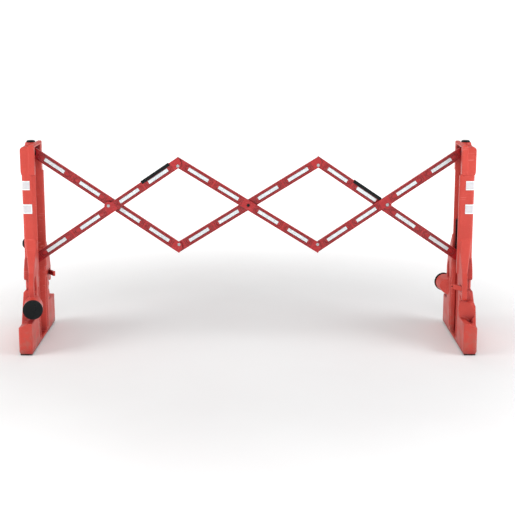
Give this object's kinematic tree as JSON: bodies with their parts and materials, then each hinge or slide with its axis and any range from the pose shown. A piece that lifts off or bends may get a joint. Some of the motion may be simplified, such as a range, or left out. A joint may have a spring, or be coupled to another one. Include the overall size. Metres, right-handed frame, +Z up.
{
  "type": "expanding barrier",
  "caption": "Folding road barrier: two upright plastic end panels with ballast feet, joined by a scissor trellis with reflective strips.",
  "frame": {"origin": "on the ground, in the middle of the open barrier", "axes": "+X along the span, +Y front to back, +Z up"},
  "size_m": [2.2774, 0.55, 1.033],
  "materials": {
    "panel_red": "blow-moulded orange-red polyethylene, satin",
    "bar_red": "injection-moulded crimson, semi-gloss",
    "black_plastic": "satin black",
    "pad_rubber": "dull",
    "zinc_steel": "zinc plated",
    "reflective_sheet": "white retroreflective sheet"
  },
  "bodies": {
    "left_panel": {"left_panel_shell": "panel_red", "left_foot_pads": "pad_rubber", "left_reflective_bands": "reflective_sheet", "left_top_bracket": "black_plastic", "left_bracket_screws": "zinc_steel", "left_top_pin": "zinc_steel", "left_top_bushes": "black_plastic", "left_hook_pin": "zinc_steel", "left_filler_neck": "panel_red"},
    "left_slider": {"left_slider": "black_plastic", "left_slider_pin": "zinc_steel"},
    "left_lamp_cap": {"left_lamp_cap": "black_plastic"},
    "left_lock_knob": {"left_lock_knob": "black_plastic"},
    "left_filler_cap": {"left_filler_cap": "black_plastic"},
    "left_hook": {"left_hook": "panel_red"},
    "right_panel": {"right_panel_shell": "panel_red", "right_foot_pads": "pad_rubber", "right_reflective_bands": "reflective_sheet", "right_top_bracket": "black_plastic", "right_bracket_screws": "zinc_steel", "right_top_pin": "zinc_steel", "right_top_bushes": "black_plastic", "right_hook_pin": "zinc_steel", "right_filler_neck": "panel_red"},
    "right_slider": {"right_slider": "black_plastic", "right_slider_pin": "zinc_steel"},
    "right_lamp_cap": {"right_lamp_cap": "black_plastic"},
    "right_lock_knob": {"right_lock_knob": "black_plastic"},
    "right_filler_cap": {"right_filler_cap": "black_plastic"},
    "right_hook": {"right_hook": "panel_red"},
    "left_down_bar": {"bar_left_down": "bar_red", "strips_left_down": "reflective_sheet", "pin_cross_left": "zinc_steel"},
    "left_up_bar": {"bar_left_up": "bar_red", "strips_left_up": "reflective_sheet", "grip_left": "black_plastic", "pin_top_left": "zinc_steel"},
    "middle_down_bar": {"bar_middle_down": "bar_red", "strips_middle_down": "reflective_sheet", "pin_cross_middle": "black_plastic", "pin_bottom_right": "zinc_steel"},
    "middle_up_bar": {"bar_middle_up": "bar_red", "strips_middle_up": "reflective_sheet", "pin_bottom_left": "zinc_steel"},
    "right_up_bar": {"bar_right_up": "bar_red", "strips_right_up": "reflective_sheet", "pin_cross_right": "zinc_steel"},
    "right_down_bar": {"bar_right_down": "bar_red", "strips_right_down": "reflective_sheet", "grip_right": "black_plastic", "pin_top_right": "zinc_steel"}
  },
  "joints": [
    {"name": "trellis_fold", "type": "hinge", "parent": "left_panel", "child": "left_down_bar", "pos_m": [-1.08168, -0.0065, 0.97674], "axis": [0, 1, 0], "range_deg": [0, 54]},
    {"name": "left_cross_turn", "type": "hinge", "parent": "left_down_bar", "child": "left_up_bar", "pos_m": [-0.70652, -0.0195, 0.702], "axis": [0, 1, 0], "range_deg": [-108, 0]},
    {"name": "top_left_turn", "type": "hinge", "parent": "left_up_bar", "child": "middle_down_bar", "pos_m": [-0.35326, -0.0065, 0.90513], "axis": [0, 1, 0], "range_deg": [0, 108]},
    {"name": "middle_cross_turn", "type": "hinge", "parent": "middle_down_bar", "child": "middle_up_bar", "pos_m": [0, 0.0065, 0.702], "axis": [0, 1, 0], "range_deg": [-108, 0]},
    {"name": "bottom_right_turn", "type": "hinge", "parent": "middle_down_bar", "child": "right_up_bar", "pos_m": [0.35326, 0.0065, 0.49887], "axis": [0, 1, 0], "range_deg": [-108, 0]},
    {"name": "right_cross_turn", "type": "hinge", "parent": "right_up_bar", "child": "right_down_bar", "pos_m": [0.70652, 0.0195, 0.702], "axis": [0, 1, 0], "range_deg": [0, 108]},
    {"name": "right_panel_turn", "type": "hinge", "parent": "right_up_bar", "child": "right_panel", "pos_m": [1.08168, 0.0065, 0.97674], "axis": [0, 1, 0], "range_deg": [0, 54]},
    {"name": "left_slider_turn", "type": "hinge", "parent": "left_up_bar", "child": "left_slider", "pos_m": [-1.08168, -0.0195, 0.42726], "axis": [0, 1, 0], "range_deg": [0, 54]},
    {"name": "right_slider_turn", "type": "hinge", "parent": "right_down_bar", "child": "right_slider", "pos_m": [1.08168, 0.0195, 0.42726], "axis": [0, 1, 0], "range_deg": [-54, 0]},
    {"name": "left_lamp_cap_lift", "type": "slide", "parent": "left_panel", "child": "left_lamp_cap", "axis": [0, 0, 1], "range_m": [0, 0.025]},
    {"name": "left_lock_knob_turn", "type": "hinge", "parent": "left_panel", "child": "left_lock_knob", "pos_m": [-1.13268, -0.052, 0.515], "axis": [-1, 0, 0], "range_deg": [0, 180]},
    {"name": "left_filler_cap_turn", "type": "hinge", "parent": "left_panel", "child": "left_filler_cap", "pos_m": [-1.05168, -0.26741, 0.23], "axis": [0.1564, -0.9877, 0], "range_deg": [0, 360]},
    {"name": "left_hook_swing", "type": "hinge", "parent": "left_panel", "child": "left_hook", "pos_m": [-1.06368, 0.172, 0.311], "axis": [0, 0, 1], "range_deg": [0, 51]},
    {"name": "right_lamp_cap_lift", "type": "slide", "parent": "right_panel", "child": "right_lamp_cap", "axis": [0, 0, 1], "range_m": [0, 0.025]},
    {"name": "right_lock_knob_turn", "type": "hinge", "parent": "right_panel", "child": "right_lock_knob", "pos_m": [1.13268, 0.052, 0.515], "axis": [1, 0, 0], "range_deg": [0, 180]},
    {"name": "right_filler_cap_turn", "type": "hinge", "parent": "right_panel", "child": "right_filler_cap", "pos_m": [1.05168, 0.26741, 0.23], "axis": [-0.1564, 0.9877, 0], "range_deg": [0, 360]},
    {"name": "right_hook_swing", "type": "hinge", "parent": "right_panel", "child": "right_hook", "pos_m": [1.06368, -0.172, 0.311], "axis": [0, 0, 1], "range_deg": [0, 51]}
  ],
  "couplings": [
    {"joint": "left_cross_turn", "follows": "trellis_fold", "ratio": -2},
    {"joint": "top_left_turn", "follows": "trellis_fold", "ratio": 2},
    {"joint": "middle_cross_turn", "follows": "trellis_fold", "ratio": -2},
    {"joint": "bottom_right_turn", "follows": "trellis_fold", "ratio": -2},
    {"joint": "right_cross_turn", "follows": "trellis_fold", "ratio": 2},
    {"joint": "right_panel_turn", "follows": "trellis_fold", "ratio": 1},
    {"joint": "left_slider_turn", "follows": "trellis_fold", "ratio": 1},
    {"joint": "right_slider_turn", "follows": "trellis_fold", "ratio": -1}
  ]
}
